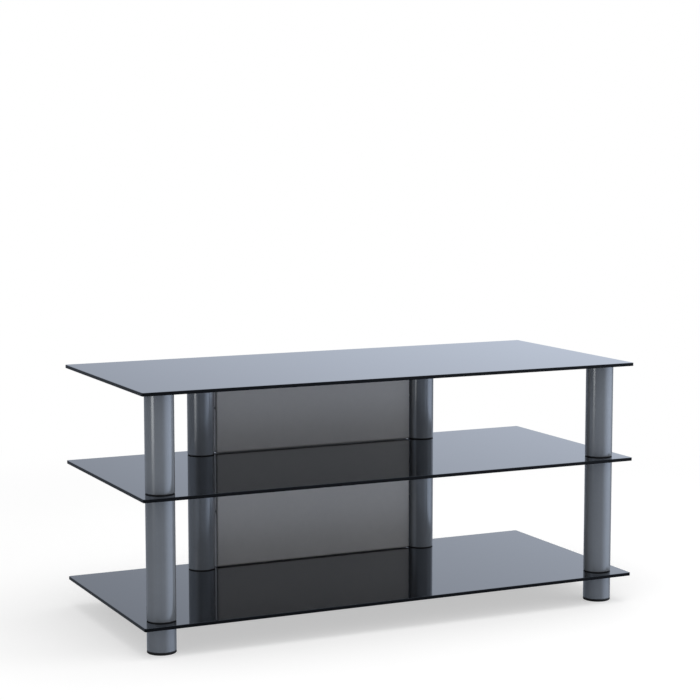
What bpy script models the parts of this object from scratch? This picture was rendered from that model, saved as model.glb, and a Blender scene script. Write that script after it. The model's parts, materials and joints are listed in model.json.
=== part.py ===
"""Television rack: three glass shelves clamped on four round posts, with a back panel in each bay.

Metres. +X is to the right, +Y to the back and +Z up, with the origin on the floor, under the
middle of the shelves. Each post is a stack of tubes, plugs and shelves on one tension rod, which
hangs from a steel disc bonded under the top shelf and draws up against the foot insert.
"""

import bpy
import bmesh
from math import cos, pi, radians, sin
from mathutils import Matrix

# Shelves
SHELF_WIDTH = 0.950
SHELF_DEPTH = 0.420
GLASS_THICKNESS = 0.006
GLASS_CORNER_RADIUS = 0.003
GLASS_ARRIS = 0.0007
POST_HOLE_RADIUS = 0.007

# Heights: the floor to the bottom shelf, then the two bays between the shelves
FOOT_HEIGHT = 0.049
LOWER_BAY_HEIGHT = 0.210
UPPER_BAY_HEIGHT = 0.170

# Posts, measured from the shelf's side and from its front or back edge to the post's axis
FRONT_POST_SIDE_INSET = 0.045
FRONT_POST_EDGE_INSET = 0.045
REAR_POST_SIDE_INSET = 0.245
REAR_POST_EDGE_INSET = 0.045
TUBE_RADIUS = 0.025
TUBE_WALL = 0.002
TUBE_END_CHAMFER = 0.0004

# Plugs in the tube ends, each with a flange between the tube and the glass
FLANGE_THICKNESS = 0.001
FLANGE_SETBACK = 0.0004
PLUG_DEPTH = 0.012
NIPPLE_SHORTFALL = 0.0008

# Bonded disc and tension rod; the rods and the glides' studs have one thread, the insert's
DISC_RADIUS = 0.017
DISC_THICKNESS = 0.003
BOSS_RADIUS = 0.008
BOSS_LENGTH = 0.014
BOSS_ROOF = 0.003
ROD_RADIUS = 0.004
ROD_END_CHAMFER = 0.0008
ROD_END_SPACE = 0.001
INSERT_HEADROOM = 0.004

# Screw glides
PAD_HEIGHT = 0.0034
PAD_EDGE_RADIUS = 0.0016
STUD_LENGTH = 0.012
STUD_TO_ROD = 0.003

# Back panels, folded trays with their open side to the back
PANEL_SHEET = 0.0015
PANEL_DEPTH = 0.016
PANEL_FOLD_RADIUS = 0.0025
PANEL_TO_TUBE = 0.003
PANEL_TO_GLASS = 0.001
SCREW_RADIUS = 0.002
SCREW_HEAD_RADIUS = 0.0038
SCREW_CROWN_RADIUS = 0.0026
SCREW_HEAD_HEIGHT = 0.0024
SCREW_REACH = 0.004

# Clearances: SEAT_GAP where one piece seats on or in another, FIT_GAP round rods and screws
SEAT_GAP = 0.0003
FIT_GAP = 0.0004

# Facets round a full turn, and steps in the small curves
TUBE_FACETS = 28
PLUG_FACETS = 20
ROD_FACETS = 10
PAD_EDGE_STEPS = 2
GLASS_CORNER_STEPS = 3
PANEL_FOLD_STEPS = 2
CUTTER_OVERRUN = 0.010

# Levels worked out from the heights
BOTTOM_SHELF_UNDERSIDE = FOOT_HEIGHT
BOTTOM_SHELF_TOP = BOTTOM_SHELF_UNDERSIDE + GLASS_THICKNESS
MIDDLE_SHELF_UNDERSIDE = BOTTOM_SHELF_TOP + LOWER_BAY_HEIGHT
MIDDLE_SHELF_TOP = MIDDLE_SHELF_UNDERSIDE + GLASS_THICKNESS
TOP_SHELF_UNDERSIDE = MIDDLE_SHELF_TOP + UPPER_BAY_HEIGHT

# What the seats leave at each end of a tube, from the glass to the tube
TUBE_END_SEAT = SEAT_GAP + FLANGE_THICKNESS + SEAT_GAP
GLIDE_SEAT = PAD_HEIGHT + SEAT_GAP + FLANGE_THICKNESS + SEAT_GAP
FLANGE_RADIUS = TUBE_RADIUS - FLANGE_SETBACK
PLUG_RADIUS = TUBE_RADIUS - TUBE_WALL - SEAT_GAP
NIPPLE_RADIUS = POST_HOLE_RADIUS - FIT_GAP
ROD_BORE_RADIUS = ROD_RADIUS + FIT_GAP

FRONT_POST_X = SHELF_WIDTH / 2 - FRONT_POST_SIDE_INSET
FRONT_POST_Y = FRONT_POST_EDGE_INSET - SHELF_DEPTH / 2
REAR_POST_X = SHELF_WIDTH / 2 - REAR_POST_SIDE_INSET
REAR_POST_Y = SHELF_DEPTH / 2 - REAR_POST_EDGE_INSET
POSTS = {
    "front_left": (-FRONT_POST_X, FRONT_POST_Y),
    "front_right": (FRONT_POST_X, FRONT_POST_Y),
    "rear_left": (-REAR_POST_X, REAR_POST_Y),
    "rear_right": (REAR_POST_X, REAR_POST_Y),
}
BAYS = {
    "upper": (MIDDLE_SHELF_TOP, TOP_SHELF_UNDERSIDE),
    "lower": (BOTTOM_SHELF_TOP, MIDDLE_SHELF_UNDERSIDE),
}


def clear_scene():
    """Remove every object of the scene that the file opens with."""
    for thing in list(bpy.data.objects):
        bpy.data.objects.remove(thing, do_unlink=True)


def make_material(name, colour, roughness, metallic):
    """Return a Principled material with the finish of one kind of piece."""
    material = bpy.data.materials.new(name)
    material.use_nodes = True
    shader = material.node_tree.nodes["Principled BSDF"]
    shader.inputs["Base Color"].default_value = (*colour, 1.0)
    shader.inputs["Roughness"].default_value = roughness
    shader.inputs["Metallic"].default_value = metallic
    return material


def place(name, mesh, material, location=(0.0, 0.0, 0.0)):
    """Add an object of its own for the mesh, which it may share with its like."""
    if not mesh.materials:
        mesh.materials.append(material)
    piece = bpy.data.objects.new(name, mesh)
    piece.location = location
    bpy.context.scene.collection.objects.link(piece)
    return piece


def to_mesh(name, bm, sharp_angle=30.0):
    """Turn a closed bmesh into a mesh whose round faces shade smooth."""
    bmesh.ops.recalc_face_normals(bm, faces=bm.faces)
    mesh = bpy.data.meshes.new(name)
    bm.to_mesh(mesh)
    bm.free()
    mesh.shade_smooth()
    mesh.set_sharp_from_angle(angle=radians(sharp_angle))
    return mesh


def turned_mesh(name, profile, facets):
    """Turn a closed outline of (radius, height) points once round Z."""
    bm = bmesh.new()
    points = [bm.verts.new((radius, 0.0, height)) for radius, height in profile]
    on_axis = profile[0][0] == 0.0 and profile[-1][0] == 0.0
    spans = zip(points, points[1:] if on_axis else points[1:] + points[:1])
    edges = [bm.edges.new(span) for span in spans]
    bmesh.ops.spin(
        bm,
        geom=points + edges,
        cent=(0.0, 0.0, 0.0),
        axis=(0.0, 0.0, 1.0),
        angle=2 * pi,
        steps=facets,
        use_merge=True,
    )
    bmesh.ops.remove_doubles(bm, verts=bm.verts, dist=1e-6)
    return to_mesh(name, bm)


def arc_points(centre, radius, start, end, steps):
    """Points on an arc of a profile, from start to end in degrees."""
    angles = [radians(start + (end - start) * step / steps) for step in range(steps + 1)]
    return [(centre[0] + radius * cos(a), centre[1] + radius * sin(a)) for a in angles]


def add_cutter(name, mesh):
    """Keep a cutting shape in the file, out of the render."""
    cutter = bpy.data.objects.new(name, mesh)
    cutter.hide_render = True
    cutter.display_type = "WIRE"
    bpy.context.scene.collection.objects.link(cutter)
    return cutter


def cut(piece, cutter):
    """Cut one piece with a cutter by an exact Boolean."""
    modifier = piece.modifiers.new("cut_" + cutter.name, "BOOLEAN")
    modifier.operation = "DIFFERENCE"
    modifier.solver = "EXACT"
    modifier.object = cutter


def shelf_mesh(name):
    """A glass plate with small round corners and ground arrises, its underside at height 0."""
    bm = bmesh.new()
    size = Matrix.Diagonal((SHELF_WIDTH, SHELF_DEPTH, GLASS_THICKNESS, 1.0))
    lift = Matrix.Translation((0.0, 0.0, GLASS_THICKNESS / 2))
    bmesh.ops.create_cube(bm, size=1.0, matrix=lift @ size)
    uprights = [e for e in bm.edges if e.verts[0].co.xy == e.verts[1].co.xy]
    bmesh.ops.bevel(
        bm,
        geom=uprights,
        offset=GLASS_CORNER_RADIUS,
        segments=GLASS_CORNER_STEPS,
        profile=0.5,
        affect="EDGES",
    )
    rims = [e for e in bm.edges if e.verts[0].co.z == e.verts[1].co.z]
    bmesh.ops.bevel(bm, geom=rims, offset=GLASS_ARRIS, segments=1, affect="EDGES")
    return to_mesh(name, bm)


def post_hole_cutter():
    """Four upright bars, one on each post's axis, through the two lower shelves."""
    bm = bmesh.new()
    bar_bottom = BOTTOM_SHELF_UNDERSIDE - CUTTER_OVERRUN
    bar_top = MIDDLE_SHELF_TOP + CUTTER_OVERRUN
    for x, y in POSTS.values():
        bmesh.ops.create_cone(
            bm,
            cap_ends=True,
            segments=PLUG_FACETS,
            radius1=POST_HOLE_RADIUS,
            radius2=POST_HOLE_RADIUS,
            depth=bar_top - bar_bottom,
            matrix=Matrix.Translation((x, y, (bar_bottom + bar_top) / 2)),
        )
    return add_cutter("post_holes", to_mesh("post_holes", bm))


def build_shelves(glass):
    """Three like plates; the two lower ones have a hole over each post."""
    cutter = post_hole_cutter()
    mesh = shelf_mesh("shelf")
    place("top_shelf", mesh, glass, (0.0, 0.0, TOP_SHELF_UNDERSIDE))
    for name, underside in (
        ("middle_shelf", MIDDLE_SHELF_UNDERSIDE),
        ("bottom_shelf", BOTTOM_SHELF_UNDERSIDE),
    ):
        cut(place(name, mesh, glass, (0.0, 0.0, underside)), cutter)


def tube_mesh(name, bottom, top):
    """A tube between two levels, with its outer end edges broken."""
    outer = TUBE_RADIUS
    inner = TUBE_RADIUS - TUBE_WALL
    broken = TUBE_END_CHAMFER
    profile = [
        (inner, bottom),
        (outer - broken, bottom),
        (outer, bottom + broken),
        (outer, top - broken),
        (outer - broken, top),
        (inner, top),
    ]
    return turned_mesh(name, profile, TUBE_FACETS)


def build_tubes(metal):
    """One tube in each bay and a short one under the bottom shelf, on every post."""
    levels = {
        "upper_tube": (MIDDLE_SHELF_TOP + TUBE_END_SEAT, TOP_SHELF_UNDERSIDE - TUBE_END_SEAT),
        "lower_tube": (BOTTOM_SHELF_TOP + TUBE_END_SEAT, MIDDLE_SHELF_UNDERSIDE - TUBE_END_SEAT),
        "foot_tube": (GLIDE_SEAT, BOTTOM_SHELF_UNDERSIDE - TUBE_END_SEAT),
    }
    for part, (bottom, top) in levels.items():
        mesh = tube_mesh(part, bottom, top)
        for post, (x, y) in POSTS.items():
            place(f"{post}_{part}", mesh, metal, (x, y, 0.0))


def bottom_collar_profile():
    """Plug in a tube's lower end, standing on the glass at height 0."""
    seat = SEAT_GAP
    shoulder = seat + FLANGE_THICKNESS
    return [
        (ROD_BORE_RADIUS, seat),
        (FLANGE_RADIUS, seat),
        (FLANGE_RADIUS, shoulder),
        (PLUG_RADIUS, shoulder),
        (PLUG_RADIUS, shoulder + PLUG_DEPTH),
        (ROD_BORE_RADIUS, shoulder + PLUG_DEPTH),
    ]


def top_collar_profile():
    """Plug in a tube's upper end, under the glass at height 0, with a nipple up into its hole."""
    seat = -SEAT_GAP
    shoulder = seat - FLANGE_THICKNESS
    nipple_top = GLASS_THICKNESS - NIPPLE_SHORTFALL
    return [
        (ROD_BORE_RADIUS, nipple_top),
        (NIPPLE_RADIUS, nipple_top),
        (NIPPLE_RADIUS, seat),
        (FLANGE_RADIUS, seat),
        (FLANGE_RADIUS, shoulder),
        (PLUG_RADIUS, shoulder),
        (PLUG_RADIUS, shoulder - PLUG_DEPTH),
        (ROD_BORE_RADIUS, shoulder - PLUG_DEPTH),
    ]


def disc_collar_profile():
    """Plug under the top shelf at height 0, dished for the bonded disc and bored for its boss."""
    seat = -SEAT_GAP
    shoulder = seat - FLANGE_THICKNESS
    dish_radius = DISC_RADIUS + FIT_GAP
    dish_floor = -SEAT_GAP - DISC_THICKNESS - SEAT_GAP
    boss_bore = BOSS_RADIUS + FIT_GAP
    return [
        (dish_radius, seat),
        (FLANGE_RADIUS, seat),
        (FLANGE_RADIUS, shoulder),
        (PLUG_RADIUS, shoulder),
        (PLUG_RADIUS, shoulder - PLUG_DEPTH),
        (boss_bore, shoulder - PLUG_DEPTH),
        (boss_bore, dish_floor),
        (dish_radius, dish_floor),
    ]


def build_collars(plastic):
    """The plugs in the tube ends, five on each post."""
    kinds = {
        "upper_top_collar": (disc_collar_profile(), TOP_SHELF_UNDERSIDE),
        "upper_bottom_collar": (bottom_collar_profile(), MIDDLE_SHELF_TOP),
        "lower_top_collar": (top_collar_profile(), MIDDLE_SHELF_UNDERSIDE),
        "lower_bottom_collar": (bottom_collar_profile(), BOTTOM_SHELF_TOP),
        "foot_top_collar": (top_collar_profile(), BOTTOM_SHELF_UNDERSIDE),
    }
    for part, (profile, level) in kinds.items():
        mesh = turned_mesh(part, profile, PLUG_FACETS)
        for post, (x, y) in POSTS.items():
            place(f"{post}_{part}", mesh, plastic, (x, y, level))


def build_bond_discs(steel):
    """Discs bonded under the top shelf, each with a blind threaded boss for the rod."""
    top = -SEAT_GAP
    underside = top - DISC_THICKNESS
    boss_end = underside - BOSS_LENGTH
    profile = [
        (0.0, top),
        (DISC_RADIUS, top),
        (DISC_RADIUS, underside),
        (BOSS_RADIUS, underside),
        (BOSS_RADIUS, boss_end),
        (ROD_BORE_RADIUS, boss_end),
        (ROD_BORE_RADIUS, top - BOSS_ROOF),
        (0.0, top - BOSS_ROOF),
    ]
    mesh = turned_mesh("bond_disc", profile, PLUG_FACETS)
    for post, (x, y) in POSTS.items():
        place(f"{post}_bond_disc", mesh, steel, (x, y, TOP_SHELF_UNDERSIDE))


def build_tension_rods(steel):
    """One rod on each post's axis, from the disc's boss down into the foot insert."""
    top = TOP_SHELF_UNDERSIDE - SEAT_GAP - BOSS_ROOF - ROD_END_SPACE
    bottom = PAD_HEIGHT + STUD_LENGTH + STUD_TO_ROD
    profile = [
        (0.0, bottom),
        (ROD_RADIUS - ROD_END_CHAMFER, bottom),
        (ROD_RADIUS, bottom + ROD_END_CHAMFER),
        (ROD_RADIUS, top - ROD_END_CHAMFER),
        (ROD_RADIUS - ROD_END_CHAMFER, top),
        (0.0, top),
    ]
    mesh = turned_mesh("tension_rod", profile, ROD_FACETS)
    for post, (x, y) in POSTS.items():
        place(f"{post}_tension_rod", mesh, steel, (x, y, 0.0))


def build_foot_inserts(plastic):
    """Flanged inserts that fill the foot tubes below their top collars."""
    bottom = PAD_HEIGHT + SEAT_GAP
    shoulder = bottom + FLANGE_THICKNESS
    collar_end = BOTTOM_SHELF_UNDERSIDE - SEAT_GAP - FLANGE_THICKNESS - PLUG_DEPTH
    top = collar_end - INSERT_HEADROOM
    profile = [
        (ROD_BORE_RADIUS, bottom),
        (FLANGE_RADIUS, bottom),
        (FLANGE_RADIUS, shoulder),
        (PLUG_RADIUS, shoulder),
        (PLUG_RADIUS, top),
        (ROD_BORE_RADIUS, top),
    ]
    mesh = turned_mesh("foot_insert", profile, PLUG_FACETS)
    for post, (x, y) in POSTS.items():
        place(f"{post}_foot_insert", mesh, plastic, (x, y, 0.0))


def build_glides(rubber):
    """Pads on the floor, each with a stud up into the foot insert; origin on the stud's axis."""
    edge = PAD_EDGE_RADIUS
    rounded = arc_points((TUBE_RADIUS - edge, edge), edge, -90.0, 0.0, PAD_EDGE_STEPS)
    stud_top = PAD_HEIGHT + STUD_LENGTH
    profile = [
        (0.0, 0.0),
        *rounded,
        (TUBE_RADIUS, PAD_HEIGHT),
        (ROD_RADIUS, PAD_HEIGHT),
        (ROD_RADIUS, stud_top - ROD_END_CHAMFER),
        (ROD_RADIUS - ROD_END_CHAMFER, stud_top),
        (0.0, stud_top),
    ]
    mesh = turned_mesh("glide", profile, TUBE_FACETS)
    for post, (x, y) in POSTS.items():
        place(f"{post}_glide", mesh, rubber, (x, y, 0.0))


def tray_mesh(name, width, height):
    """A sheet folded back on all four sides, open at the back and centred on its own origin."""
    bm = bmesh.new()
    size = Matrix.Diagonal((width, PANEL_DEPTH, height, 1.0))
    bmesh.ops.create_cube(bm, size=1.0, matrix=size)
    back = max(bm.faces, key=lambda face: face.calc_center_median().y)
    bmesh.ops.delete(bm, geom=[back], context="FACES_ONLY")
    folds = [edge for edge in bm.edges if not edge.is_boundary]
    bmesh.ops.bevel(
        bm,
        geom=folds,
        offset=PANEL_FOLD_RADIUS,
        segments=PANEL_FOLD_STEPS,
        profile=0.5,
        affect="EDGES",
    )
    return to_mesh(name, bm)


def screw_mesh():
    """A pan-head screw with its head under Z = 0 and its shank up, past the flange and tube wall."""
    seat = -SEAT_GAP
    head_end = seat - SCREW_HEAD_HEIGHT
    tip = PANEL_SHEET + PANEL_TO_TUBE + TUBE_WALL + SCREW_REACH
    profile = [
        (0.0, head_end),
        (SCREW_CROWN_RADIUS, head_end),
        (SCREW_HEAD_RADIUS, head_end + SCREW_HEAD_HEIGHT / 2),
        (SCREW_HEAD_RADIUS, seat),
        (SCREW_RADIUS, seat),
        (SCREW_RADIUS, tip - SCREW_RADIUS),
        (0.0, tip),
    ]
    return turned_mesh("panel_screw", profile, ROD_FACETS)


def build_panels(sheet, steel):
    """A tray in each bay between the rear posts, with one screw through each end into the tube."""
    half_width = REAR_POST_X - TUBE_RADIUS - PANEL_TO_TUBE
    screws = screw_mesh()
    for bay, (floor, roof) in BAYS.items():
        height = roof - floor - 2 * PANEL_TO_GLASS
        middle = (floor + roof) / 2
        panel = place(
            f"{bay}_back_panel",
            tray_mesh(f"{bay}_panel", 2 * half_width, height),
            sheet,
            (0.0, REAR_POST_Y, middle),
        )
        skin = panel.modifiers.new("sheet", "SOLIDIFY")
        skin.thickness = PANEL_SHEET
        skin.offset = -1.0
        skin.use_even_offset = True

        bar = bmesh.new()
        bmesh.ops.create_cone(
            bar,
            cap_ends=True,
            segments=ROD_FACETS,
            radius1=SCREW_RADIUS + FIT_GAP,
            radius2=SCREW_RADIUS + FIT_GAP,
            depth=2 * REAR_POST_X,
            matrix=Matrix.Rotation(pi / 2, 4, "Y"),
        )
        cutter = add_cutter(f"{bay}_screw_holes", to_mesh(f"{bay}_screw_holes", bar))
        cutter.location = (0.0, REAR_POST_Y, middle)
        cut(panel, cutter)
        for post, side in (("rear_left", -1), ("rear_right", 1)):
            cut(bpy.data.objects[f"{post}_{bay}_tube"], cutter)
            inner_face = side * (half_width - PANEL_SHEET)
            screw = place(
                f"{bay}_{post}_panel_screw",
                screws,
                steel,
                (inner_face, REAR_POST_Y, middle),
            )
            screw.rotation_euler = (0.0, side * pi / 2, 0.0)


def build_rack():
    """Build every piece of the rack."""
    glass = make_material("black_glass", (0.008, 0.010, 0.013), 0.03, 0.0)
    tube_metal = make_material("satin_tube", (0.42, 0.44, 0.48), 0.30, 1.0)
    black_plastic = make_material("black_plastic", (0.015, 0.015, 0.017), 0.50, 0.0)
    black_rubber = make_material("black_rubber", (0.012, 0.012, 0.012), 0.75, 0.0)
    panel_paint = make_material("panel_grey", (0.30, 0.30, 0.29), 0.38, 0.6)
    bright_steel = make_material("bright_steel", (0.60, 0.60, 0.61), 0.28, 1.0)
    clear_scene()
    build_shelves(glass)
    build_tubes(tube_metal)
    build_collars(black_plastic)
    build_bond_discs(bright_steel)
    build_tension_rods(bright_steel)
    build_foot_inserts(black_plastic)
    build_glides(black_rubber)
    build_panels(panel_paint, bright_steel)


build_rack()
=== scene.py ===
"""Dresses the packed media rack: three black glass shelves on four satin posts.

Metres, in the frame of the packed part. Each operator builds one kind of piece from the boxes of
the nodes that it stands for, so that every piece sits where the solid does.
"""

import json
from math import ceil, copysign, cos, pi, radians, sin

import bmesh
import bpy
from bpy.props import FloatProperty, FloatVectorProperty, PointerProperty
from mathutils import Matrix, Vector

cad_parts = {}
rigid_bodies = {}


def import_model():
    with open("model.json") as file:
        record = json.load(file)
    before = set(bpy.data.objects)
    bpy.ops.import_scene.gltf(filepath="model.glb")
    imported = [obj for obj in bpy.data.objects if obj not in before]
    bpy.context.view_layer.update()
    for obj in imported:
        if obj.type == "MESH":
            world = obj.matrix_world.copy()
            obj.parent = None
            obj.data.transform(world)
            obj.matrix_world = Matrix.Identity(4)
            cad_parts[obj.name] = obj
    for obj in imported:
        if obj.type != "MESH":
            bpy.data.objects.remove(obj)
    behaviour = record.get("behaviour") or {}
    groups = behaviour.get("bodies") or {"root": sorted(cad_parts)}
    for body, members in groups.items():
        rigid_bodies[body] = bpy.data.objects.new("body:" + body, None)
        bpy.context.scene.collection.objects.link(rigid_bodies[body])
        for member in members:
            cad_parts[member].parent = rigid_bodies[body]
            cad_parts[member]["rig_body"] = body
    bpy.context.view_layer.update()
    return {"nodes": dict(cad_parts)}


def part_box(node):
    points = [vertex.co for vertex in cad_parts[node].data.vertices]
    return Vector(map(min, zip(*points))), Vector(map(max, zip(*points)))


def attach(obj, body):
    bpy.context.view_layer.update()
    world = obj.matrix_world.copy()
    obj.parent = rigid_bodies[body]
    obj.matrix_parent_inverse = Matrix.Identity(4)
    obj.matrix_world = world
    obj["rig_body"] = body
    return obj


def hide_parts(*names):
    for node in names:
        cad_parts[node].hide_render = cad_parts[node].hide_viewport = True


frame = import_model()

bl_info = {
    "name": "Glass media rack",
    "version": (1, 0, 0),
    "blender": (4, 5, 0),
    "location": "3D View > Sidebar > Rack",
    "description": "Builds the glass shelves, posts, panels, feet and stage of a media rack",
    "category": "Object",
}

POSTS = ("front_left", "front_right", "rear_left", "rear_right")
REAR_POSTS = POSTS[2:]
BAYS = ("upper", "lower")
SHELVES = ("top_shelf", "middle_shelf", "bottom_shelf")

# Facets round what is turned or drilled, rings of points in a thread, and steps in small curves
POST_FACETS = 96
GLASS_HOLE_FACETS = 48
DRILL_FACETS = 32
DISC_FACETS = 64
THREAD_FACETS = 32
RINGS_PER_PITCH = 6
PAD_FACETS = 96
SCREW_FACETS = 40
ARRIS_STEPS = 3
GLASS_CORNER_STEPS = 8
FOLD_STEPS = 5
TUBE_END_STEPS = 4
SMALL_ROUND_STEPS = 2
PAD_EDGE_STEPS = 8
DOME_STEPS = 6

# Shapes of small pieces, as shares of another of their sizes
CORNER_SHARE = 0.45  # the most that rounding a corner takes, to the length of a side
THREAD_FLANK = 2.2  # how far a thread's flank would fall over one pitch, to its depth
PAD_HOLLOW = (0.70, 0.72)  # radii of the hollow under a pad, at its roof and rim, to the pad's
DOME_WIDTH = 1.4  # width of a screw head's dome, to its height
SCREW_POINT = 0.3  # radius at a screw's point, to its shank's
DRILL_REACH = 1.4  # how far the drill goes into a tube from its axis, to the tube's radius

# In metres: how far the drill goes past a panel, and how near points become one
DRILL_OVERRUN = 0.01
MERGE_DISTANCE = 1e-7

# Soft lamps: where each stands, the point that it is aimed at, and its width and height
STRIP_LEVEL = 0.225
LAMPS = {
    "overhead": ((0.1, -0.3, 2.4), (0.0, 0.0, 0.2), (2.6, 1.8)),
    "side": ((2.2, -1.1, 0.9), (0.0, 0.0, 0.25), (1.3, 1.7)),
    "strip": ((-2.46, -0.84, STRIP_LEVEL), (-0.2, 0.0, STRIP_LEVEL), (0.75, 2 * STRIP_LEVEL)),
}

# Distances from the middle at which the floor starts to fade and is wholly white
FLOOR_FADE = (0.9, 1.9)

# What the glass and metal mirror: a studio with four sides, below and above a soft horizon. Each
# side but the front has a direction, and how like it a way is that starts to belong to the side,
# and that wholly does.
HORIZON = (0.01, 0.09)
SIDES = {
    "right": ((0.996, -0.087, 0.0), (0.10, 1.0)),
    "left": ((-0.92, 0.39, 0.0), (0.45, 0.95)),
    "behind": ((0.43, 0.90, 0.0), (0.20, 0.80)),
}
# How bright each side is. A gradient has a range, of height or of likeness to the way to the
# right, and its brightness at both ends.
FRONT_BELOW = 0.20
FRONT_RISE = ((0.14, 0.30), (0.12, 0.36))
FRONT_FALL = ((0.30, 0.80), (0.36, 0.14))
RIGHT_BELOW = ((-0.24, -0.16), (0.62, 1.12))
RIGHT_ABOVE = 0.35
LEFT_BELOW = 0.15
LEFT_ABOVE = 0.50
BEHIND_BELOW = 0.26
BEHIND_ABOVE = ((0.20, 0.55), (0.55, 1.06))
MIRRORED_TINT = (0.905, 1.0, 1.18)
WHITE = (1.0, 1.0, 1.0)

# Where nearly all the values of a noise lie
NOISE_SPAN = (0.3, 0.7)


# Settings


def number(name, default, description, low=0.0, **kind):
    """A number that a user may change."""
    return FloatProperty(name=name, default=default, description=description, min=low, **kind)


def length(name, default, description):
    """A size in metres that a user may change."""
    return number(name, default, description, precision=5, unit="LENGTH", subtype="DISTANCE")


def angle(name, default, description):
    """An angle that a user may change, given here in degrees."""
    return number(name, radians(default), description, -pi, unit="ROTATION", subtype="ANGLE")


def colour(name, default, description):
    """A colour that a user may change."""
    kind = {"min": 0.0, "max": 1.0, "subtype": "COLOR"}
    return FloatVectorProperty(name=name, default=default, description=description, **kind)


class RackGlassSettings(bpy.types.PropertyGroup):
    """The three shelves."""

    corner_radius: length("Corner radius", 0.003, "Radius of the four corners seen from above")
    arris: length("Arris", 0.0007, "Width of the rounded strip between a face and the edge")
    hole_radius: length("Hole radius", 0.007, "Holes over the posts in the two lower shelves")
    tint: colour("Tint", (0.0014, 0.0020, 0.0034), "Colour of the glass body")
    edge_tint: colour("Edge", (0.0020, 0.0028, 0.0045), "Colour of the polished edge")
    # The upper arris's colour: paler as ground glass, and paler still as a painted highlight,
    # since only the arris that looks up gets it
    ground_and_highlight_tint: colour("Ground arris", (0.040, 0.048, 0.060), "Colour of the upper ground arris")
    dust: number("Dust", 0.05, "How much dust lies on the faces", max=1.0, subtype="FACTOR")
    dust_tint: colour("Dust colour", (0.30, 0.30, 0.30), "Colour of the dust")


class RackPostSettings(bpy.types.PropertyGroup):
    """The tubes and the plugs in their ends."""

    tube_wall: length("Tube wall", 0.002, "Thickness of the tube")
    end_round: length("End rounding", 0.0003, "Rounding of the tubes' ends")
    flange: length("Flange", 0.001, "Thickness of a plug's flange between tube and glass")
    plug_clearance: length("Plug clearance", 0.0003, "Gap between a plug and its tube or glass")
    spigot_radius: length("Spigot radius", 0.0066, "The plug's spigot in the hole of the glass")
    spigot_shortfall: length("Spigot shortfall", 0.0008, "From its end to the top of the glass")
    bore_radius: length("Bore radius", 0.0044, "Bore for the tension rod")
    dish_radius: length("Dish radius", 0.0174, "Dish in the top plug for the bonded disc")
    dish_depth: length("Dish depth", 0.0033, "Depth of that dish below the top of the flange")
    boss_bore: length("Boss bore", 0.0084, "Bore in the top plug for the disc's boss")
    moulding_round: length("Moulding rounding", 0.00025, "Rounding of the moulded edges")
    metal: colour("Tube metal", (0.318, 0.348, 0.388), "Satin lacquered tube")
    plastic: colour("Plastic", (0.045, 0.047, 0.052), "Plugs and inserts")


class RackRodSettings(bpy.types.PropertyGroup):
    """The discs, rods and screw glides on the posts' axes."""

    pitch: length("Thread pitch", 0.00125, "Pitch of the rods and of the glides' studs")
    thread_depth: length("Thread depth", 0.0007, "Depth of that thread")
    threaded_end: length("Threaded end", 0.024, "Length of the thread at each end of a rod")
    boss_radius: length("Boss radius", 0.008, "Boss of the bonded disc")
    disc_thickness: length("Disc thickness", 0.003, "Thickness of the bonded disc")
    disc_round: length("Disc rounding", 0.0003, "Rounding of the disc's edges")
    pad_height: length("Pad height", 0.0034, "Height of a glide's pad")
    pad_round: length("Pad rounding", 0.0011, "Rounding of the pad's lower edge")
    pad_top_round: length("Pad top rounding", 0.0004, "Rounding of the pad's upper edge")
    pad_hollow: length("Pad hollow", 0.0005, "Depth of the hollow under a pad")
    stud_radius: length("Stud radius", 0.004, "Radius of a glide's stud")
    stud_root: length("Stud root", 0.0002, "How deep the stud starts in its pad")
    steel: colour("Steel", (0.60, 0.60, 0.61), "Zinc plated steel")
    rubber: colour("Rubber", (0.012, 0.012, 0.012), "The glides' pads")


class RackPanelSettings(bpy.types.PropertyGroup):
    """The two back panels and their screws."""

    sheet: length("Sheet", 0.0015, "Thickness of the sheet")
    fold_radius: length("Fold radius", 0.0025, "Outer radius of the folds")
    hole_radius: length("Screw hole", 0.0024, "Radius of the screw holes")
    shank_radius: length("Screw shank", 0.002, "Radius of a screw's shank")
    crown: length("Screw crown", 0.0010, "Height of the domed part of a screw's head")
    head_height: length("Screw head", 0.0024, "Height of a screw's head")
    screw_edge: length("Screw edge", 0.0002, "Chamfer of a screw's head and point")
    recess: length("Recess", 0.0040, "Span of the cross recess in a screw's head")
    recess_width: length("Recess width", 0.0008, "Width of the recess's slots")
    recess_depth: length("Recess depth", 0.0014, "Depth of the recess")
    paint: colour("Paint", (0.68, 0.665, 0.65), "Satin metallic paint")


class RackStageSettings(bpy.types.PropertyGroup):
    """Camera, floor, lamps and surroundings."""

    lens: number("Lens", 99.677, "Focal length on a 36 mm sensor", low=10.0, unit="CAMERA")
    camera_place: FloatVectorProperty(
        name="Camera",
        description="Where the camera stands",
        default=(-1.5096, -3.1691, 0.8783),
        precision=4,
        subtype="TRANSLATION",
        unit="LENGTH",
    )
    turn: angle("Turn", 25.4506, "Angle from straight ahead to the right")
    tilt: angle("Tilt", 6.6017, "Angle down from level")
    floor_size: length("Floor", 24.0, "Side of the floor")
    floor_thickness: length("Floor thickness", 0.02, "Thickness of the floor's four slabs")
    floor_tone: colour("Floor tone", (0.66, 0.66, 0.66), "Colour of the floor")
    floor_lift: number("Floor lift", 0.50, "How much paler the camera sees the floor", max=1.0)
    soft_level: number("Soft light", 0.50, "Level of the light from all round")
    overhead_power: number("Overhead lamp", 24.0, "Lamp above the rack", unit="POWER")
    side_power: number("Side lamp", 12.0, "Lamp on the right", unit="POWER")
    strip_power: number("Strip lamp", 1.8, "Low lamp, a line on the upper tubes", unit="POWER")
    strip_tint: colour("Strip lamp tint", (1.0, 0.95, 0.87), "Colour of the strip lamp's light")


# Meshes


def to_mesh(bm):
    """Turn a bmesh into a mesh."""
    mesh = bpy.data.meshes.new("rack_mesh")
    bm.to_mesh(mesh)
    bm.free()
    return mesh


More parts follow.
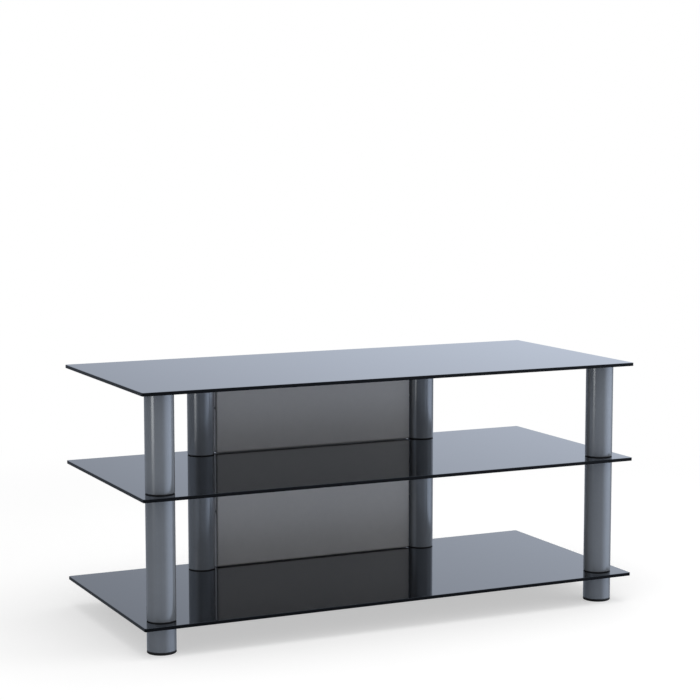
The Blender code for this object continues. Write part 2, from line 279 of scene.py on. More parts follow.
def finish_mesh(bm, sharp_angle=38.0):
    """Turn a bmesh into a mesh whose curved faces shade smooth."""
    bmesh.ops.recalc_face_normals(bm, faces=bm.faces)
    mesh = to_mesh(bm)
    mesh.shade_smooth()
    mesh.set_sharp_from_angle(angle=radians(sharp_angle))
    return mesh


def on_axis(profile):
    """Tell whether an outline of (radius, height) points starts and ends on the axis."""
    return profile[0][0] == 0.0 and profile[-1][0] == 0.0


def rounded(profile, radius, steps):
    """Round the corners of an outline of (radius, height) points, apart from ends on the axis."""
    count = len(profile)
    points = []
    for index, here in enumerate(profile):
        if on_axis(profile) and index in (0, count - 1):
            points.append(here)
            continue
        before = Vector(profile[index - 1])
        after = Vector(profile[(index + 1) % count])
        corner = Vector(here)
        sides = (before - corner, after - corner)
        reach = min(radius, *[CORNER_SHARE * side.length for side in sides])
        start, end = [corner + side.normalized() * reach for side in sides]
        for step in range(steps + 1):
            t = step / steps
            point = start * (1 - t) ** 2 + corner * 2 * t * (1 - t) + end * t**2
            points.append((point.x, point.y))
    return points


def turned(profile, facets, x=0.0, y=0.0):
    """Turn an outline of (radius, height) points once round an upright axis."""
    bm = bmesh.new()
    points = [bm.verts.new((radius, 0.0, height)) for radius, height in profile]
    spans = zip(points, points[1:] if on_axis(profile) else points[1:] + points[:1])
    edges = [bm.edges.new(span) for span in spans]
    bmesh.ops.spin(
        bm, geom=points + edges, axis=(0, 0, 1), angle=2 * pi, steps=facets, use_merge=True
    )
    bmesh.ops.remove_doubles(bm, verts=bm.verts, dist=MERGE_DISTANCE)
    bmesh.ops.translate(bm, verts=bm.verts, vec=(x, y, 0.0))
    return finish_mesh(bm)


def quarter(steps, start=0):
    """The angles of a quarter turn, in steps from a start in degrees."""
    return [radians(start + 90 * step / steps) for step in range(steps + 1)]


def bridge(bm, lower, upper):
    """Join two rings of points by faces, and return these."""
    pairs = enumerate([*range(1, len(lower)), 0])
    return [bm.faces.new((lower[a], lower[b], upper[b], upper[a])) for a, b in pairs]


def thread_mesh(settings, radius, bottom, top, stretches, x, y):
    """A round bar from bottom to top, with a screw thread on the given stretches of it."""
    pitch = settings.pitch
    depth = settings.thread_depth
    levels = {bottom, bottom + depth, top - depth, top}
    for start, end in stretches:
        steps = ceil((end - start) / (pitch / RINGS_PER_PITCH))
        levels.update(start + (end - start) * step / steps for step in range(steps + 1))
    bm = bmesh.new()
    rings = []
    for level in sorted(levels):
        chamfer = max(0.0, depth - (level - bottom), depth - (top - level))
        ring = []
        for step in range(THREAD_FACETS):
            angle = 2 * pi * step / THREAD_FACETS
            cut = 0.0
            for start, end in stretches:
                if start <= level <= end:
                    phase = ((level - start) / pitch - step / THREAD_FACETS) % 1.0
                    run_out = min(1.0, (level - start) / pitch, (end - level) / pitch)
                    cut = depth * min(1.0, THREAD_FLANK * abs(phase - 0.5)) * run_out
            reach = radius - max(cut, chamfer)
            ring.append(bm.verts.new((x + reach * cos(angle), y + reach * sin(angle), level)))
        rings.append(ring)
    for lower, upper in zip(rings, rings[1:]):
        bridge(bm, lower, upper)
    bm.faces.new(rings[-1])
    bm.faces.new(rings[0][::-1])
    return finish_mesh(bm, sharp_angle=50.0)


def outline(half_width, half_depth, radius):
    """Points of a rectangle with round corners, anticlockwise."""
    points = []
    for sign_x, sign_y, start in ((1, -1, -90), (1, 1, 0), (-1, 1, 90), (-1, -1, 180)):
        centre_x = sign_x * (half_width - radius)
        centre_y = sign_y * (half_depth - radius)
        for a in quarter(GLASS_CORNER_STEPS, start):
            points.append((centre_x + radius * cos(a), centre_y + radius * sin(a)))
    return points


def plate_mesh(settings, low, high, holes):
    """A glass plate between two corners, with ground arrises and round holes."""
    bm = bmesh.new()
    middle = (low + high) / 2
    half = (high - low) / 2
    arris = settings.arris
    arc = quarter(ARRIS_STEPS)
    edge = [(arris * (1 - sin(a)), low.z + arris * (1 - cos(a))) for a in arc]
    edge += [(arris * (1 - sin(a)), high.z - arris * (1 - cos(a))) for a in reversed(arc)]
    loops = []
    for inset, level in edge:
        points = outline(half.x - inset, half.y - inset, settings.corner_radius - inset)
        loops.append([bm.verts.new((middle.x + x, middle.y + y, level)) for x, y in points])
    for lower, upper in zip(loops, loops[1:]):
        for face in bridge(bm, lower, upper):
            face.material_index = 1
    rims = {low.z: [loops[0]], high.z: [loops[-1]]}
    radius = settings.hole_radius
    turns = [2 * pi * step / GLASS_HOLE_FACETS for step in range(GLASS_HOLE_FACETS)]
    for x, y in holes:
        ends = []
        for level in (low.z, high.z):
            points = [(x + radius * cos(a), y + radius * sin(a), level) for a in turns]
            ends.append([bm.verts.new(point) for point in points])
            rims[level].append(ends[-1])
        bridge(bm, *reversed(ends))
    for rim in rims.values():
        edges = []
        for loop in rim:
            pairs = zip(loop, loop[1:] + loop[:1])
            edges += [bm.edges.get(pair) or bm.edges.new(pair) for pair in pairs]
        bmesh.ops.triangle_fill(bm, edges=edges, use_beauty=True)
    return finish_mesh(bm, sharp_angle=42.0)


def tray_mesh(low, high, fold_radius):
    """A sheet folded back on all four sides, open at the back."""
    bm = bmesh.new()
    size = Matrix.Diagonal((*(high - low), 1.0))
    bmesh.ops.create_cube(bm, size=1.0, matrix=Matrix.Translation((low + high) / 2) @ size)
    back = max(bm.faces, key=lambda face: face.calc_center_median().y)
    bmesh.ops.delete(bm, geom=[back], context="FACES_ONLY")
    folds = [edge for edge in bm.edges if not edge.is_boundary]
    bmesh.ops.bevel(
        bm, geom=folds, offset=fold_radius, segments=FOLD_STEPS, profile=0.5, affect="EDGES"
    )
    return finish_mesh(bm)


def settle(piece):
    """Replace a piece's mesh by what its modifiers make of it."""
    bpy.context.view_layer.update()
    graph = bpy.context.evaluated_depsgraph_get()
    mesh = bpy.data.meshes.new_from_object(piece.evaluated_get(graph), depsgraph=graph)
    piece.modifiers.clear()
    piece.data = mesh


def cut_out(piece, mesh, crossed=False):
    """Cut a mesh's shape out of a piece; a crossed mesh passes through itself."""
    cutter = bpy.data.objects.new("cutter", mesh)
    bpy.context.scene.collection.objects.link(cutter)
    cut = piece.modifiers.new("cut", "BOOLEAN")
    cut.operation = "DIFFERENCE"
    cut.solver = "EXACT"
    cut.use_self = crossed
    cut.object = cutter
    settle(piece)
    bpy.data.objects.remove(cutter, do_unlink=True)


def drill(piece, radius, start, end, matrix):
    """Cut a round hole out of a piece, along the upright axis that the matrix turns."""
    mesh = turned([(0.0, start), (radius, start), (radius, end), (0.0, end)], DRILL_FACETS)
    mesh.transform(matrix)
    cut_out(piece, mesh)


def keep_flats(piece):
    """Let the large faces set the shading beside small round edges."""
    modifier = piece.modifiers.new("keep_flats", "WEIGHTED_NORMAL")
    modifier.keep_sharp = True
    modifier.weight = 90


def axis_of(node):
    """Where the axis of a round upright node stands, its radius, and its two levels."""
    low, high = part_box(node)
    centre = (low + high) / 2
    return centre.x, centre.y, (high.x - low.x) / 2, low.z, high.z


# Nodes


def feed(tree, value, socket):
    """Link a socket to another one, or give it a value; a colour gets an alpha of one."""
    if isinstance(value, bpy.types.NodeSocket):
        tree.links.new(value, socket)
    elif socket.type == "RGBA":
        socket.default_value = (*value[:3], 1.0)
    else:
        socket.default_value = value


def add_node(tree, kind, settings=(), **inputs):
    """Add a node; an input is named, with _ for a space, or counted, as in at0."""
    node = tree.nodes.new("ShaderNode" + kind)
    for name, value in dict(settings).items():
        setattr(node, name, value)
    for name, value in inputs.items():
        place = int(name[2:]) if name.startswith("at") else name.replace("_", " ")
        feed(tree, value, node.inputs[place])
    return node


def maths(tree, operation, first, second=0.0, third=0.0, clamp=False):
    """The value of one sum."""
    settings = {"operation": operation, "use_clamp": clamp}
    return add_node(tree, "Math", settings, at0=first, at1=second, at2=third).outputs[0]


def times(tree, first, second, clamp=False):
    """The product of two values."""
    return maths(tree, "MULTIPLY", first, second, clamp=clamp)


def shift(tree, value, share, amount):
    """A value that is changed by an amount where a share is 1."""
    return maths(tree, "MULTIPLY_ADD", share, amount, value)


def dot(tree, first, second):
    """How alike two directions are, from -1 to 1."""
    settings = {"operation": "DOT_PRODUCT"}
    return add_node(tree, "VectorMath", settings, at0=first, at1=second).outputs["Value"]


def spread(tree, value, span, to=(0.0, 1.0), smooth=False):
    """Spread a value from one range to another, held at its ends."""
    settings = {"interpolation_type": "SMOOTHSTEP" if smooth else "LINEAR"}
    ends = {"From_Min": span[0], "From_Max": span[1], "To_Min": to[0], "To_Max": to[1]}
    return add_node(tree, "MapRange", settings, Value=value, **ends).outputs[0]


def vary(tree, share, low, high):
    """A value that goes from low to high as a share goes from 0 to 1."""
    return spread(tree, share, (0.0, 1.0), to=(low, high))


def blend(tree, share, first, second, mode="MIX"):
    """Blend two colours."""
    settings = {"data_type": "RGBA", "blend_type": mode}
    return add_node(tree, "Mix", settings, at0=share, at6=first, at7=second).outputs[2]


def grey(tree, level):
    """A grey of the given level."""
    return add_node(tree, "CombineColor", Red=level, Green=level, Blue=level).outputs[0]


def facing_up(tree, span, smooth=False):
    """A mask of the faces that look up."""
    normal = add_node(tree, "NewGeometry").outputs["Normal"]
    upward = add_node(tree, "SeparateXYZ", Vector=normal).outputs["Z"]
    return spread(tree, upward, span, smooth=smooth)


def object_place(tree, stretch=(1.0, 1.0, 1.0)):
    """The place on the object, stretched along its axes."""
    place = add_node(tree, "TexCoord").outputs["Object"]
    return add_node(tree, "Mapping", Vector=place, Scale=stretch).outputs[0]


def cloud(tree, place, scale, detail=4.0, roughness=0.55, distortion=0.0):
    """Noise from 0 to 1."""
    look = {"Scale": scale, "Detail": detail, "Roughness": roughness, "Distortion": distortion}
    return add_node(tree, "TexNoise", Vector=place, **look).outputs[0]


# Effects that the materials share


def new_group(name, inputs, *outputs):
    """A node group and its two ends. A socket called Colour holds a colour, others a value."""
    tree = bpy.data.node_groups.new(name, "ShaderNodeTree")

    def add_socket(socket, side):
        kind = "NodeSocketColor" if socket == "Colour" else "NodeSocketFloat"
        return tree.interface.new_socket(socket, in_out=side, socket_type=kind)

    for socket, default in inputs.items():
        add_socket(socket, "INPUT").default_value = default
    for socket in outputs:
        add_socket(socket, "OUTPUT")
    given = tree.nodes.new("NodeGroupInput").outputs
    result = tree.nodes.new("NodeGroupOutput").inputs
    return tree, given, result


def mottle_group(name):
    """A colour that wanders a little, in large soft patches and in fine ones."""
    inputs = {"Colour": (0.5, 0.5, 0.5, 1.0), "Scale": 12.0, "Amount": 0.1}
    tree, given, result = new_group(name, inputs, "Colour", "Shade")
    place = object_place(tree)
    large = cloud(tree, place, given["Scale"], detail=3.0)
    fine = cloud(tree, place, times(tree, given["Scale"], 11.0), detail=5.0, roughness=0.6)
    both = vary(tree, 0.35, large, fine)
    swing = spread(tree, both, NOISE_SPAN, to=(-1.0, 1.0))
    factor = shift(tree, 1.0, swing, given["Amount"])
    mottled = blend(tree, 1.0, given["Colour"], grey(tree, factor), "MULTIPLY")
    feed(tree, mottled, result["Colour"])
    feed(tree, spread(tree, both, NOISE_SPAN), result["Shade"])
    return tree


def worn_edge_group(name):
    """A mask along the edges, broken up as handling leaves it."""
    inputs = {"Width": 0.0005, "Scale": 160.0, "Amount": 0.5}
    tree, given, result = new_group(name, inputs, "Mask")
    rounded_normal = add_node(tree, "Bevel", {"samples": 6}, Radius=given["Width"]).outputs[0]
    true_normal = add_node(tree, "NewGeometry").outputs["True Normal"]
    edge = spread(tree, dot(tree, rounded_normal, true_normal), (0.99, 0.86))
    broken = spread(tree, cloud(tree, object_place(tree), given["Scale"]), (0.38, 0.62))
    feed(tree, times(tree, edge, times(tree, broken, given["Amount"])), result["Mask"])
    return tree


def dust_group(name):
    """Specks and thin patches of dust, on faces that look up, and marks of wiping."""
    inputs = {"Scale": 60.0, "Amount": 0.1}
    tree, given, result = new_group(name, inputs, "Mask", "Smear")
    place = object_place(tree)
    speck_scale = times(tree, given["Scale"], 14.0)
    specks = add_node(tree, "TexVoronoi", Vector=place, Scale=speck_scale).outputs
    size = spread(tree, specks["Color"], (0.6, 1.0), to=(0.0, 0.16))
    dots = maths(tree, "LESS_THAN", specks["Distance"], size)
    patches = cloud(tree, place, given["Scale"], detail=5.0, roughness=0.65, distortion=0.4)
    dusty = vary(tree, 0.3, dots, spread(tree, patches, (0.45, 0.8)))
    film = times(tree, dusty, facing_up(tree, (0.2, 0.8)))
    wiped = object_place(tree, (9.0, 2.4, 9.0))
    smear = cloud(tree, wiped, 1.0, roughness=0.5, distortion=0.7)
    feed(tree, times(tree, film, given["Amount"], clamp=True), result["Mask"])
    feed(tree, spread(tree, smear, (0.5, 0.75)), result["Smear"])
    return tree


def drawn_group(name):
    """Fine lines along the upright axis, as drawing and brushing leave them."""
    inputs = {"Scale": 900.0, "Length": 0.02}
    tree, given, result = new_group(name, inputs, "Height", "Shade")
    place = add_node(tree, "TexCoord").outputs["Object"]
    parts = add_node(tree, "SeparateXYZ", Vector=place).outputs
    along = times(tree, parts["Z"], given["Length"])
    across = add_node(tree, "CombineXYZ", X=parts["X"], Y=parts["Y"], Z=along).outputs[0]
    fine = cloud(tree, across, given["Scale"], detail=3.0, roughness=0.6)
    coarse = cloud(tree, across, times(tree, given["Scale"], 0.22), detail=2.0, roughness=0.5)
    feed(tree, vary(tree, 0.3, fine, coarse), result["Height"])
    feed(tree, spread(tree, coarse, NOISE_SPAN), result["Shade"])
    return tree


def grain_group(name):
    """The small relief of moulded plastic, rubber or sprayed paint."""
    tree, given, result = new_group(name, {"Scale": 1500.0, "Detail": 3.0}, "Height")
    grain = cloud(tree, object_place(tree), given["Scale"], given["Detail"], roughness=0.5)
    feed(tree, grain, result["Height"])
    return tree


EFFECTS = {
    "rack_mottle": mottle_group,
    "rack_worn_edge": worn_edge_group,
    "rack_dust": dust_group,
    "rack_drawn_lines": drawn_group,
    "rack_grain": grain_group,
}


def effect(tree, name, **inputs):
    """Place one of the shared effects in a material and return its outputs."""
    group = bpy.data.node_groups.get(name) or EFFECTS[name](name)
    return add_node(tree, "Group", {"node_tree": group}, **inputs).outputs


# Materials


def new_material(name, **values):
    """A material and the two things that its recipe works on: its tree and its shader."""
    material = bpy.data.materials.new(name)
    material.use_nodes = True
    sockets = material.node_tree.nodes["Principled BSDF"].inputs
    for socket, value in values.items():
        sockets[socket.replace("_", " ")].default_value = value
    return material, material.node_tree, sockets


def wear(tree, body, rubbed, width, scale, amount):
    """A colour that is rubbed to another one along the edges, and the mask of it."""
    mask = effect(tree, "rack_worn_edge", Width=width, Scale=scale, Amount=amount)["Mask"]
    return blend(tree, mask, body, rubbed), mask


def relief(tree, sockets, height, distance, strength):
    """Feed a height into the shader's normal."""
    bump = add_node(tree, "Bump", Strength=strength, Distance=distance, Height=height)
    feed(tree, bump.outputs[0], sockets["Normal"])


def dress(tree, sockets, base, roughness, height, distance, strength):
    """Feed what changes over a surface into its shader: colour, roughness and relief."""
    feed(tree, base, sockets["Base Color"])
    feed(tree, roughness, sockets["Roughness"])
    relief(tree, sockets, height, distance, strength)


def glass_material(name, settings):
    """Black tinted, polished glass with a little dust and a few wiped marks."""
    material, tree, sockets = new_material(name, IOR=1.5)
    body = effect(tree, "rack_mottle", Colour=settings.tint, Scale=5.0, Amount=0.25)
    dust = effect(tree, "rack_dust", Scale=40.0, Amount=settings.dust)
    dusty = blend(tree, dust["Mask"], body["Colour"], settings.dust_tint)
    wiped = shift(tree, 0.012, dust["Smear"], 0.020)
    dulled = shift(tree, wiped, dust["Mask"], 0.6)
    waves = effect(tree, "rack_grain", Scale=3.0, Detail=1.0)["Height"]
    dress(tree, sockets, dusty, dulled, waves, distance=0.00015, strength=0.5)
    return material


def glass_edge_material(name, settings):
    """The polished edge, with an upper arris that is ground to a fine satin and painted paler as a
    highlight of the light from above.
    """
    material, tree, sockets = new_material(name, IOR=1.5, Specular_IOR_Level=0.15)
    body = effect(tree, "rack_mottle", Colour=settings.edge_tint, Scale=60.0, Amount=0.12)
    # Only the arris that looks up turns paler: partly its ground satin, partly a painted highlight
    # of the light from above
    ground = facing_up(tree, (0.25, 0.60), smooth=True)
    tinted = blend(tree, ground, body["Colour"], settings.ground_and_highlight_tint)
    polished = vary(tree, body["Shade"], 0.06, 0.12)
    satin = shift(tree, polished, ground, 0.22)
    grain = effect(tree, "rack_grain", Scale=2500.0, Detail=2.0)["Height"]
    dress(tree, sockets, tinted, satin, grain, distance=0.00001, strength=0.3)
    return material


def tube_material(name, settings):
    """Satin lacquered tube with faint lines along it, and ends painted brighter: rubbed metal and
    a painted highlight along them.
    """
    material, tree, sockets = new_material(name, Metallic=0.45, IOR=1.5)
    lines = effect(tree, "rack_drawn_lines", Scale=2200.0, Length=0.006)
    body = effect(tree, "rack_mottle", Colour=settings.metal, Scale=14.0, Amount=0.05)
    streak = vary(tree, lines["Shade"], 0.0, 0.12)
    streaked = blend(tree, streak, body["Colour"], (0.24, 0.25, 0.28))
    # The pale rim along the rounded ends is rubbed metal and also a painted highlight of the light
    # that they catch
    bright = (0.66, 0.67, 0.70)
    rubbed, mask = wear(tree, streaked, bright, width=0.0007, scale=220.0, amount=0.7)
    satin = vary(tree, lines["Shade"], 0.17, 0.19)
    clouded = shift(tree, satin, body["Shade"], 0.02)
    smoothed = shift(tree, clouded, mask, -0.08)
    dress(tree, sockets, rubbed, smoothed, lines["Height"], distance=0.000002, strength=0.2)
    return material


def plastic_material(name, settings):
    """Black moulded plastic, slightly polished on its edges."""
    material, tree, sockets = new_material(name, IOR=1.48)
    body = effect(tree, "rack_mottle", Colour=settings.plastic, Scale=90.0, Amount=0.18)
    pale = (0.10, 0.10, 0.105)
    rubbed, mask = wear(tree, body["Colour"], pale, width=0.0004, scale=300.0, amount=0.6)
    matt = vary(tree, body["Shade"], 0.42, 0.54)
    polished = shift(tree, matt, mask, -0.15)
    grain = effect(tree, "rack_grain", Scale=2600.0, Detail=3.0)["Height"]
    dress(tree, sockets, rubbed, polished, grain, distance=0.00006, strength=0.5)
    return material


def rubber_material(name, settings):
    """Matt black pad, greyed by the floor it stands on."""
    material, tree, sockets = new_material(name, IOR=1.5)
    body = effect(tree, "rack_mottle", Colour=settings.rubber, Scale=120.0, Amount=0.25)
    dusty = (0.06, 0.058, 0.055)
    rubbed, _ = wear(tree, body["Colour"], dusty, width=0.0008, scale=260.0, amount=0.7)
    matt = vary(tree, body["Shade"], 0.66, 0.82)
    grain = effect(tree, "rack_grain", Scale=1900.0, Detail=4.0)["Height"]
    dress(tree, sockets, rubbed, matt, grain, distance=0.00012, strength=0.6)
    return material


def paint_material(name, settings):
    """Satin metallic paint on the folded panels."""
    material, tree, sockets = new_material(name, Metallic=0.55, IOR=1.5)
    body = effect(tree, "rack_mottle", Colour=settings.paint, Scale=9.0, Amount=0.05)
    flakes = add_node(tree, "TexVoronoi", Vector=object_place(tree), Scale=2600.0).outputs["Color"]
    flaked = blend(tree, vary(tree, flakes, 0.0, 0.14), body["Colour"], (0.52, 0.52, 0.50))
    bare = (0.48, 0.48, 0.47)
    rubbed, _ = wear(tree, flaked, bare, width=0.0008, scale=180.0, amount=0.5)
    satin = vary(tree, body["Shade"], 0.34, 0.42)
    peel = effect(tree, "rack_grain", Scale=420.0, Detail=2.0)["Height"]
    dress(tree, sockets, rubbed, satin, peel, distance=0.00010, strength=0.35)
    return material


def steel_material(name, settings):
    """Zinc plated steel with a faint crystal pattern and rubbed edges."""
    material, tree, sockets = new_material(name, Metallic=1.0)
    body = effect(tree, "rack_mottle", Colour=settings.steel, Scale=70.0, Amount=0.10)
    bright = (0.78, 0.78, 0.78)
    rubbed, _ = wear(tree, body["Colour"], bright, width=0.0003, scale=400.0, amount=0.6)
    plated = vary(tree, body["Shade"], 0.22, 0.34)
    grain = effect(tree, "rack_grain", Scale=1200.0, Detail=3.0)["Height"]
    dress(tree, sockets, rubbed, plated, grain, distance=0.00004, strength=0.4)
    return material


# The settings and the materials of each of the record's slots
FINISHES = {
    "black_glass": (
        "rack_glass",
        {"rack_black_glass": glass_material, "rack_glass_edge": glass_edge_material},
    ),
    "satin_tube": ("rack_posts", {"rack_satin_tube": tube_material}),
    "black_plastic": ("rack_posts", {"rack_black_plastic": plastic_material}),
    "black_rubber": ("rack_rods", {"rack_black_rubber": rubber_material}),
    "bright_steel": ("rack_rods", {"rack_bright_steel": steel_material}),
    "panel_grey": ("rack_panels", {"rack_panel_paint": paint_material}),
}


def add_piece(node, kind, mesh, slot):
    """Add the piece that stands for a node, on the node's body and with its slot's materials."""
    mesh.name = f"{node}_{kind}"
    piece = bpy.data.objects.new(f"{node}_{kind}", mesh)
    bpy.context.scene.collection.objects.link(piece)
    group, recipes = FINISHES[slot]
    settings = getattr(bpy.context.scene, group)
    for name, recipe in recipes.items():
        mesh.materials.append(bpy.data.materials.get(name) or recipe(name, settings))
    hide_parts(node)
    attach(piece, frame["nodes"][node]["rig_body"])
    return piece


# Operators


class RACK_OT_shelves(bpy.types.Operator):
    """Build the three glass shelves"""

    bl_idname = "rack.shelves"
    bl_label = "Glass shelves"

    def execute(self, context):
        axes = [axis_of(f"{post}_tension_rod")[:2] for post in POSTS]
        for node in SHELVES:
            holes = [] if node == "top_shelf" else axes
            mesh = plate_mesh(context.scene.rack_glass, *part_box(node), holes)
            keep_flats(add_piece(node, "plate", mesh, "black_glass"))
        return {"FINISHED"}


class RACK_OT_tubes(bpy.types.Operator):
    """Build the tubes of the four posts"""

    bl_idname = "rack.tubes"
    bl_label = "Post tubes"

    def execute(self, context):
        settings = context.scene.rack_posts
        hole = context.scene.rack_panels.hole_radius
        for post in POSTS:
            for part in ("upper_tube", "lower_tube", "foot_tube"):
                node = f"{post}_{part}"
                x, y, radius, bottom, top = axis_of(node)
                inner = radius - settings.tube_wall
                profile = [(inner, bottom), (radius, bottom), (radius, top), (inner, top)]
                profile = rounded(profile, settings.end_round, TUBE_END_STEPS)
                mesh = turned(profile, POST_FACETS, x, y)
                piece = add_piece(node, "sleeve", mesh, "satin_tube")
                if post in REAR_POSTS and part != "foot_tube":
                    towards_panel = Matrix.Rotation(copysign(pi / 2, -x), 4, "Y")
                    matrix = Matrix.Translation((x, y, (bottom + top) / 2)) @ towards_panel
                    drill(piece, hole, 0.0, DRILL_REACH * radius, matrix)
                keep_flats(piece)
        return {"FINISHED"}


class RACK_OT_plugs(bpy.types.Operator):
    """Build the plugs in the tubes' ends and the inserts in the feet"""

    bl_idname = "rack.plugs"
    bl_label = "Plugs and foot inserts"

    def execute(self, context):
        settings = context.scene.rack_posts
        profiles = {
            "upper_top_collar": self.dished_profile,
            "upper_bottom_collar": self.plain_profile,
            "lower_top_collar": self.spigot_profile,
            "lower_bottom_collar": self.plain_profile,
            "foot_top_collar": self.spigot_profile,
            "foot_insert": self.plain_profile,
        }
        for post in POSTS:
            plug = axis_of(f"{post}_foot_tube")[2] - settings.tube_wall - settings.plug_clearance
            for part, shape in profiles.items():
                node = f"{post}_{part}"
                x, y, rim, bottom, top = axis_of(node)
                profile = shape(settings, rim, plug, bottom, top)
                profile = rounded(profile, settings.moulding_round, SMALL_ROUND_STEPS)
                mesh = turned(profile, POST_FACETS, x, y)
                keep_flats(add_piece(node, "moulding", mesh, "black_plastic"))
        return {"FINISHED"}

    def outside(self, settings, rim, plug, seat, end):
        """The flange's edge, of radius rim, from its seat, and the plug from there to its end."""
        shoulder = seat + copysign(settings.flange, end - seat)
        return [(rim, seat), (rim, shoulder), (plug, shoulder), (plug, end)]

    def plain_profile(self, settings, rim, plug, bottom, top):
        """A plug that stands up from its flange."""
        bore = settings.bore_radius
        return [(bore, bottom), *self.outside(settings, rim, plug, bottom, top), (bore, top)]

    def spigot_profile(self, settings, rim, plug, bottom, top):
        """A plug that hangs from its flange, with a spigot up through the glass."""
        low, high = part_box("middle_shelf")
        glass = high.z - low.z
        seat = top + settings.spigot_shortfall - glass - settings.plug_clearance
        return [
            (settings.bore_radius, top),
            (settings.spigot_radius, top),
            (settings.spigot_radius, seat),
            *self.outside(settings, rim, plug, seat, bottom),
            (settings.bore_radius, bottom),
        ]

    def dished_profile(self, settings, rim, plug, bottom, top):
        """The top plug, dished for the bonded disc and bored for its boss."""
        floor = top - settings.dish_depth
        return [
            (settings.dish_radius, top),
            *self.outside(settings, rim, plug, top, bottom),
            (settings.boss_bore, bottom),
            (settings.boss_bore, floor),
            (settings.dish_radius, floor),
        ]


class RACK_OT_rods(bpy.types.Operator):
    """Build the bonded discs and the tension rods"""

    bl_idname = "rack.rods"
    bl_label = "Discs and rods"

    def execute(self, context):
        settings = context.scene.rack_rods
        bore = context.scene.rack_posts.bore_radius
        for post in POSTS:
            node = f"{post}_bond_disc"
            x, y, radius, bottom, top = axis_of(node)
            underside = top - settings.disc_thickness
            profile = [
                (0.0, top),
                (radius, top),
                (radius, underside),
                (settings.boss_radius, underside),
                (settings.boss_radius, bottom),
                (bore, bottom),
                (bore, underside),
                (0.0, underside),
            ]
            profile = rounded(profile, settings.disc_round, SMALL_ROUND_STEPS)
            mesh = turned(profile, DISC_FACETS, x, y)
            keep_flats(add_piece(node, "turning", mesh, "bright_steel"))

            node = f"{post}_tension_rod"
            x, y, radius, bottom, top = axis_of(node)
            reach = settings.threaded_end
            stretches = ((bottom, bottom + reach), (top - reach, top))
            mesh = thread_mesh(settings, radius, bottom, top, stretches, x, y)
            add_piece(node, "bar", mesh, "bright_steel")
        return {"FINISHED"}


class RACK_OT_glides(bpy.types.Operator):
    """Build the pads and studs of the four screw glides"""

    bl_idname = "rack.glides"
    bl_label = "Screw glides"

    def execute(self, context):
        settings = context.scene.rack_rods
        at_roof, at_rim = PAD_HOLLOW
        edge = settings.pad_round
        upper = settings.pad_top_round
        arc = quarter(PAD_EDGE_STEPS, -90)
        for post in POSTS:
            node = f"{post}_glide"
            x, y, radius, bottom, top = axis_of(node)
            roof = bottom + settings.pad_hollow
            pad_top = bottom + settings.pad_height
            profile = [
                (0.0, roof),
                (radius * at_roof, roof),
                (radius * at_rim, bottom),
                *[(radius - edge + edge * cos(a), bottom + edge + edge * sin(a)) for a in arc],
                (radius, pad_top - upper),
                (radius - upper / 4, pad_top - upper / 4),
                (radius - upper, pad_top),
                (0.0, pad_top),
            ]
            mesh = turned(profile, PAD_FACETS, x, y)
            keep_flats(add_piece(node, "pad", mesh, "black_rubber"))
            root = pad_top - settings.stud_root
            stretches = ((pad_top, top),)
            mesh = thread_mesh(settings, settings.stud_radius, root, top, stretches, x, y)
            add_piece(node, "stud", mesh, "bright_steel")
        return {"FINISHED"}


class RACK_OT_panels(bpy.types.Operator):
    """Build the two back panels and the four screws that hold them"""

    bl_idname = "rack.panels"
    bl_label = "Back panels and screws"

    def execute(self, context):
        settings = context.scene.rack_panels
        for bay in BAYS:
            node = f"{bay}_back_panel"
            low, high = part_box(node)
            mesh = tray_mesh(low, high, settings.fold_radius)
            piece = add_piece(node, "tray", mesh, "panel_grey")
            skin = piece.modifiers.new("sheet", "SOLIDIFY")
            skin.thickness = settings.sheet
            skin.offset = -1.0
            skin.use_even_offset = True
            settle(piece)
            across = Matrix.Translation((low + high) / 2) @ Matrix.Rotation(pi / 2, 4, "Y")
            half = (high.x - low.x) / 2 + DRILL_OVERRUN
            drill(piece, settings.hole_radius, -half, half, across)
            keep_flats(piece)
            for post in REAR_POSTS:
                self.add_screw(settings, f"{bay}_{post}_panel_screw")
        return {"FINISHED"}

    def add_screw(self, settings, node):
        """A pan-head screw with a cross recess, its head inside the tray."""
        low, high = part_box(node)
        centre = (low + high) / 2
        whole = high.x - low.x
        head_radius = (high.z - low.z) / 2
        seat = settings.head_height
        shank = settings.shank_radius
        edge = settings.screw_edge
        crown = settings.crown
        width = crown * DOME_WIDTH
        flat = head_radius - width
        profile = [
            (0.0, 0.0),
            *[(flat + width * sin(a), crown * (1 - cos(a))) for a in quarter(DOME_STEPS)],
            (head_radius, seat - edge),
            (head_radius - edge, seat),
            (shank, seat),
            (shank, whole - shank),
            (shank * SCREW_POINT, whole - edge),
            (0.0, whole),
        ]
        piece = add_piece(node, "pan_head", turned(profile, SCREW_FACETS), "bright_steel")
        bm = bmesh.new()
        slot = (settings.recess, settings.recess_width, 2 * settings.recess_depth, 1.0)
        for turn in (0.0, pi / 2):
            matrix = Matrix.Rotation(turn, 4, "Z") @ Matrix.Diagonal(slot)
            bmesh.ops.create_cube(bm, size=1.0, matrix=matrix)
        cut_out(piece, to_mesh(bm), crossed=True)
        head_x = high.x if centre.x < 0 else low.x
        outward = Matrix.Rotation(copysign(pi / 2, centre.x), 4, "Y")
        piece.data.transform(Matrix.Translation((head_x, centre.y, centre.z)) @ outward)
        keep_flats(piece)


